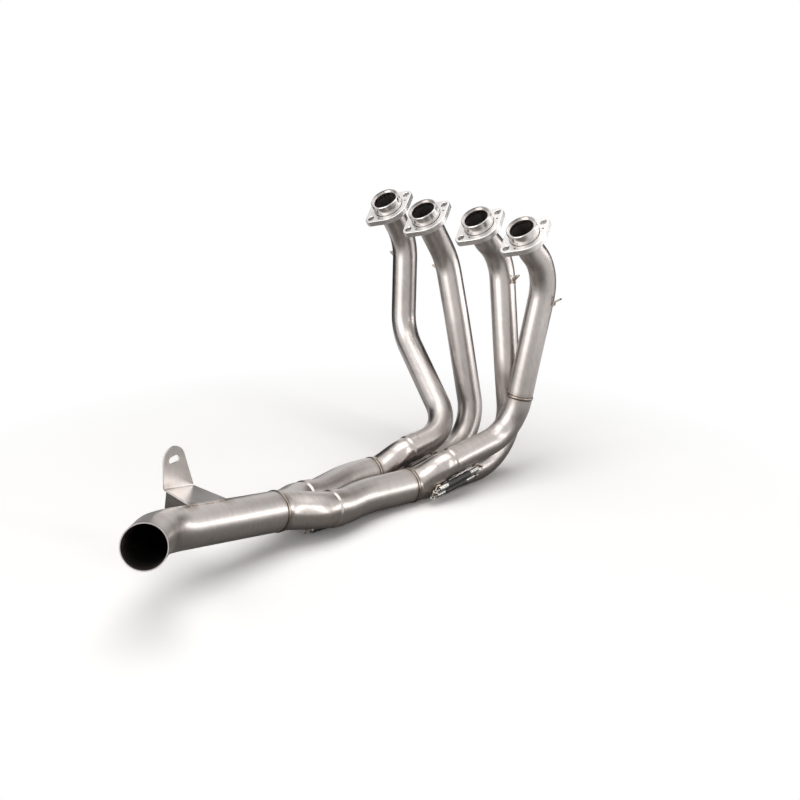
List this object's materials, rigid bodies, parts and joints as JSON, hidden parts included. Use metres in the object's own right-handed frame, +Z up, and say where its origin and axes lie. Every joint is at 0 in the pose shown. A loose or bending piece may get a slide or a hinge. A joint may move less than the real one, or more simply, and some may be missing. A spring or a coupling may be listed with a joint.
{
  "type": "motorcycle exhaust header",
  "caption": "Stainless exhaust header whose port pipes join in pairs and then into a single outlet with a hanger ear.",
  "frame": {"origin": "centre of the bounding box at the level that the pipes rest on", "axes": "+X along the row of ports, +Y towards the ports, +Z up; the outlet points towards -Y"},
  "size_m": [0.3128, 0.7108, 0.3718],
  "materials": {
    "tube": "satin stainless tube",
    "collector_sheet": "formed stainless sheet",
    "port_flange": "fine blasted steel",
    "turned_collar": "turned steel",
    "bracket_sheet": "satin stainless sheet",
    "hook_wire": "heat-tinted wire",
    "spring_wire": "bright spring wire",
    "rubber_sleeve": "dark rubber tube"
  },
  "bodies": {
    "root": {"collector_hook_final_left": "hook_wire", "collector_hook_final_right": "hook_wire", "collector_hook_left_lower": "hook_wire", "collector_hook_left_upper": "hook_wire", "collector_hook_right_lower": "hook_wire", "collector_hook_right_upper": "hook_wire", "final_collector": "collector_sheet", "hanger_bracket": "bracket_sheet", "hanger_gusset": "bracket_sheet", "joint_spring_final_left": "spring_wire", "joint_spring_final_right": "spring_wire", "joint_spring_left_lower": "spring_wire", "joint_spring_left_upper": "spring_wire", "joint_spring_right_lower": "spring_wire", "joint_spring_right_upper": "spring_wire", "outlet_pipe": "tube", "port_collar_1": "turned_collar", "port_collar_2": "turned_collar", "port_collar_3": "turned_collar", "port_collar_4": "turned_collar", "port_flange_1": "port_flange", "port_flange_2": "port_flange", "port_flange_3": "port_flange", "port_flange_4": "port_flange", "primary_collector_left": "collector_sheet", "primary_collector_right": "collector_sheet", "primary_tube_1": "tube", "primary_tube_2": "tube", "primary_tube_3": "tube", "primary_tube_4_lower": "tube", "primary_tube_4_upper": "tube", "secondary_tube_left": "tube", "secondary_tube_right": "tube", "spring_sleeve_final_left": "rubber_sleeve", "spring_sleeve_final_right": "rubber_sleeve", "spring_sleeve_left_lower": "rubber_sleeve", "spring_sleeve_left_upper": "rubber_sleeve", "spring_sleeve_right_lower": "rubber_sleeve", "spring_sleeve_right_upper": "rubber_sleeve", "tube_hook_final_left": "hook_wire", "tube_hook_final_right": "hook_wire", "tube_hook_left_lower": "hook_wire", "tube_hook_left_upper": "hook_wire", "tube_hook_right_lower": "hook_wire", "tube_hook_right_upper": "hook_wire", "upper_hook_1": "hook_wire", "upper_hook_2": "hook_wire", "upper_hook_3": "hook_wire", "upper_hook_4": "hook_wire"}
  },
  "joints": []
}
